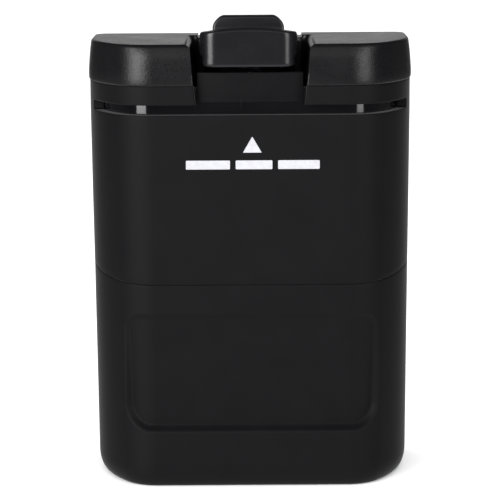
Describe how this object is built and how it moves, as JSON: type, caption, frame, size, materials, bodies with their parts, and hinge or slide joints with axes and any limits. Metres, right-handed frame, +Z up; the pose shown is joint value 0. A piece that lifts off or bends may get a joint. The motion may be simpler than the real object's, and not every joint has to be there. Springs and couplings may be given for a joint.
{
  "type": "rechargeable battery pack",
  "caption": "Upright slide-in battery pack with a rounded front, a flat back, a terminal socket and a press-down latch.",
  "frame": {"origin": "centre of the base", "axes": "+Z up along the cells, +Y towards the flat back, -Y is the rounded front"},
  "size_m": [0.0826, 0.0431, 0.1187],
  "materials": {
    "case_plastic": "satin moulded ABS/PC with a fine spark texture",
    "gloss_plastic": "polished moulded ABS",
    "cap_plastic": "semi-gloss moulded ABS with a fine grain",
    "latch_plastic": "semi-gloss moulded acetal",
    "steel": "bright zinc-plated steel",
    "spring_steel": "drawn spring wire",
    "socket_plastic": "moulded glass-filled nylon",
    "holder_plastic": "moulded natural ABS",
    "nickel": "rolled nickel strip",
    "contact_brass": "gold-flashed brass",
    "cell_sleeve": "heat-shrink sleeve",
    "insulating_paper": "vulcanised fibre sheet",
    "foam": "closed-cell foam",
    "circuit_board": "solder resist on glass epoxy",
    "component_black": "moulded epoxy",
    "component_grey": "resistor enamel",
    "connector_nylon": "natural nylon",
    "fuse_ceramic": "fired ceramic body",
    "lead_red": "silicone wire insulation",
    "lead_black": "silicone wire insulation",
    "lead_yellow": "PVC wire insulation",
    "lead_blue": "PVC wire insulation",
    "label_film": "blank printed film"
  },
  "bodies": {
    "pack": {"lower_case": "case_plastic", "upper_case": "case_plastic", "neck_frame": "gloss_plastic", "top_cap": "cap_plastic", "latch_pin": "steel", "latch_spring": "spring_steel", "terminal_block": "socket_plastic", "holder_lower": "holder_plastic", "holder_upper": "holder_plastic", "tab_positive": "nickel", "tab_negative": "nickel", "insulator_lower": "insulating_paper", "insulator_upper": "insulating_paper", "foam_pad": "foam", "control_board": "circuit_board", "power_transistors": "component_black", "controller_chip": "component_black", "sense_connector": "connector_nylon", "shunt_resistor": "component_grey", "capacitors": "component_black", "fuse": "fuse_ceramic", "thermistor": "component_black", "lead_positive": "lead_red", "lead_negative": "lead_black", "cell_lead_negative": "lead_black", "sense_lead_left": "lead_yellow", "sense_lead_right": "lead_blue", "case_screws": "steel", "neck_screws": "steel", "board_screws": "steel", "rear_label": "label_film", "cell_1": "cell_sleeve", "cell_2": "cell_sleeve", "cell_3": "cell_sleeve", "cell_4": "cell_sleeve", "cell_5": "cell_sleeve", "cell_6": "cell_sleeve", "cell_7": "cell_sleeve", "link_1": "nickel", "link_2": "nickel", "link_3": "nickel", "link_4": "nickel", "link_5": "nickel", "link_6": "nickel", "terminal_contact_1": "contact_brass", "terminal_contact_2": "contact_brass", "terminal_contact_3": "contact_brass", "terminal_contact_4": "contact_brass"},
    "latch": {"latch_lever": "latch_plastic"}
  },
  "joints": [
    {"name": "latch_press", "type": "hinge", "parent": "pack", "child": "latch", "pos_m": [0, 0.00793, 0.1092], "axis": [1, 0, 0], "range_deg": [0, 6], "stiffness_Nm_per_rad": 0.9, "springref_deg": -6.88, "deforming": ["latch_spring"]}
  ]
}
